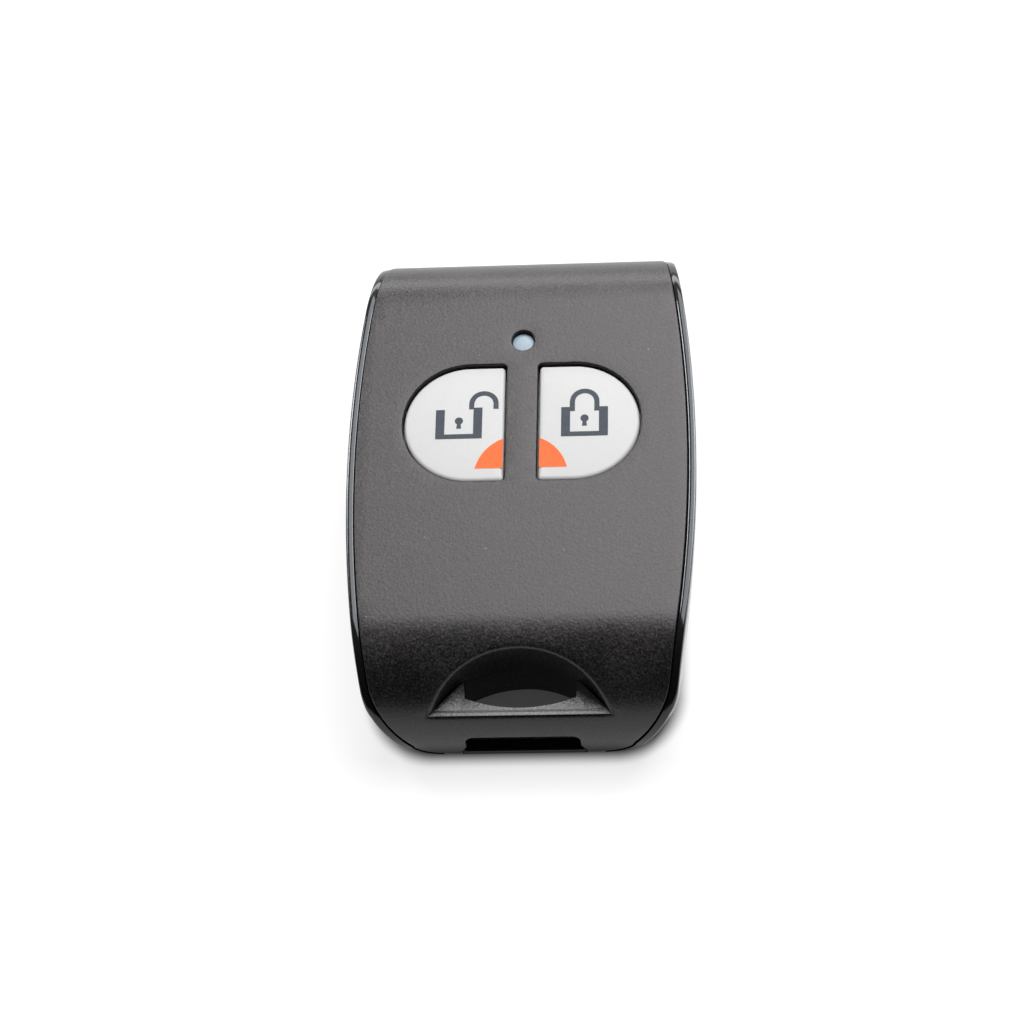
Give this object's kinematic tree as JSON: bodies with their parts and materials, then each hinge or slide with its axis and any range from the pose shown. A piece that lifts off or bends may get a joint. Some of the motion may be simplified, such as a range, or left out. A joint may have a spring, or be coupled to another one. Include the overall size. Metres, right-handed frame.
{
  "type": "alarm key fob",
  "caption": "Pocket alarm remote: satin front with rolled ends between gloss side cheeks, white press caps with padlock symbols, indicator window and a key-ring eye through one end.",
  "frame": {"origin": "bottom centre of the flat back", "axes": "+Y toward the indicator end, +Z out of the front face, +X toward the closed-padlock cap"},
  "size_m": [0.036, 0.056, 0.0125],
  "materials": {
    "gloss_black": "polished",
    "satin_charcoal": "fine spark texture",
    "diffuser": "frosted",
    "cap_white": "smooth satin",
    "legend_dark": "printed",
    "mark_orange": "printed",
    "silicone": "soft satin",
    "carbon": "dull",
    "board": "solder mask",
    "gold": "plated",
    "lamp": "clear resin",
    "chip": "moulded",
    "tin": "plated",
    "ceramic": "fired",
    "cell_steel": "brushed",
    "seal": "moulded",
    "spring_metal": "stamped"
  },
  "bodies": {
    "rear_half": {"rear_cover": "gloss_black", "keypad_mat": "silicone", "unlock_dome": "silicone", "lock_dome": "silicone", "circuit_board": "board", "contact_pads": "gold", "indicator_led": "lamp", "controller_chip": "chip", "controller_leads": "tin", "crystal_can": "tin", "antenna_loop": "gold", "chip_parts": "ceramic", "cell_can": "cell_steel", "cell_seal": "seal", "cell_cap": "cell_steel", "positive_clip": "spring_metal", "negative_contact": "spring_metal"},
    "front_half": {"front_cover": "satin_charcoal", "light_pipe": "diffuser"},
    "unlock_key": {"unlock_button": "cap_white", "unlock_legend": "legend_dark", "unlock_mark": "mark_orange", "unlock_pill": "carbon"},
    "lock_key": {"lock_button": "cap_white", "lock_legend": "legend_dark", "lock_mark": "mark_orange", "lock_pill": "carbon"}
  },
  "joints": [
    {"name": "unlock_press", "type": "slide", "parent": "rear_half", "child": "unlock_key", "axis": [0, 0, -1], "range_m": [0, 0.0007], "stiffness_N_per_m": 1500, "deforming": ["unlock_dome"]},
    {"name": "lock_press", "type": "slide", "parent": "rear_half", "child": "lock_key", "axis": [0, 0, -1], "range_m": [0, 0.0007], "stiffness_N_per_m": 1500, "deforming": ["lock_dome"]},
    {"name": "front_lift", "type": "slide", "parent": "rear_half", "child": "front_half", "axis": [0, 0, 1], "range_m": [0, 0.022]}
  ]
}
